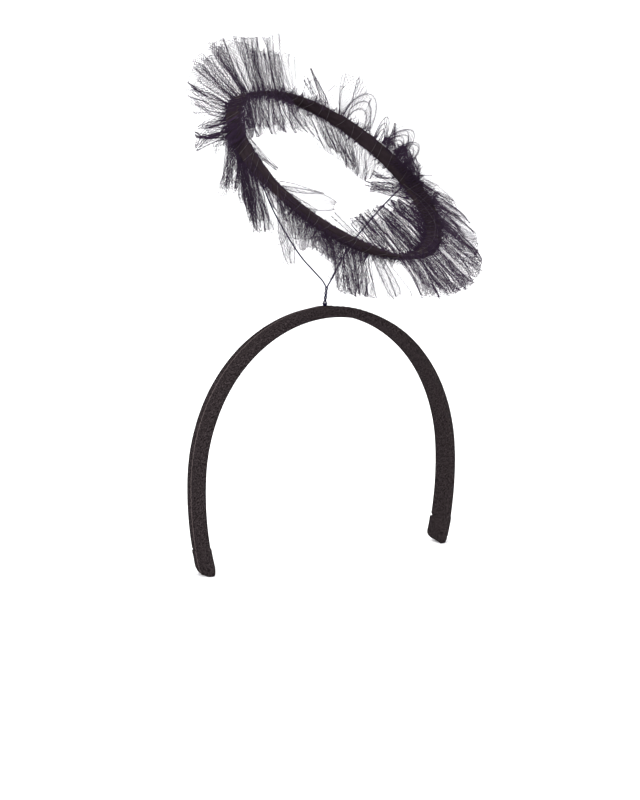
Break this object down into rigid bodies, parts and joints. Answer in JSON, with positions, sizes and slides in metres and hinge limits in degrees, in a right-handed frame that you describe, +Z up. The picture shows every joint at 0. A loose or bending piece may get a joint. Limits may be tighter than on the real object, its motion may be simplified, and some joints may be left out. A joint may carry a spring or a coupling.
{
  "type": "halo headband",
  "caption": "Cloth-covered arched headband with a twisted wire stem that forks to carry a tilted ribbon hoop trimmed all round with gathered net.",
  "frame": {"origin": "underside of the band at the middle of its arch, where it sits on the crown of the head", "axes": "+Z up as worn, -Y towards the wearer's front, +X towards the wearer's left"},
  "size_m": [0.1574, 0.1259, 0.2545],
  "materials": {
    "band_cloth": "fine ribbed charcoal cloth, slightly satin",
    "ribbon": "matt black ribbon",
    "wire": "blue-black enamel",
    "tulle": "fine dark net"
  },
  "bodies": {
    "root": {"headband": "band_cloth", "tip_cover_left": "band_cloth", "tip_cover_right": "band_cloth", "stem_knot": "wire", "wire_arm_left": "wire", "wire_arm_right": "wire", "halo_ring": "ribbon", "tulle_outer_01": "tulle", "tulle_outer_02": "tulle", "tulle_outer_03": "tulle", "tulle_outer_04": "tulle", "tulle_outer_05": "tulle", "tulle_outer_06": "tulle", "tulle_outer_07": "tulle", "tulle_outer_08": "tulle", "tulle_outer_09": "tulle", "tulle_outer_10": "tulle", "tulle_outer_11": "tulle", "tulle_outer_12": "tulle", "tulle_outer_13": "tulle", "tulle_outer_14": "tulle", "tulle_outer_15": "tulle", "tulle_outer_16": "tulle", "tulle_outer_17": "tulle", "tulle_outer_18": "tulle", "tulle_outer_19": "tulle", "tulle_outer_20": "tulle", "tulle_outer_21": "tulle", "tulle_outer_22": "tulle", "tulle_outer_23": "tulle", "tulle_outer_24": "tulle", "tulle_inner_01": "tulle", "tulle_inner_02": "tulle", "tulle_inner_03": "tulle", "tulle_inner_04": "tulle", "tulle_inner_05": "tulle", "tulle_inner_06": "tulle", "tulle_inner_07": "tulle", "tulle_inner_08": "tulle", "tulle_inner_09": "tulle", "tulle_inner_10": "tulle", "tulle_inner_11": "tulle", "tulle_inner_12": "tulle", "tulle_inner_13": "tulle", "tulle_inner_14": "tulle", "tulle_inner_15": "tulle", "tulle_inner_16": "tulle", "tulle_inner_17": "tulle"}
  },
  "joints": []
}
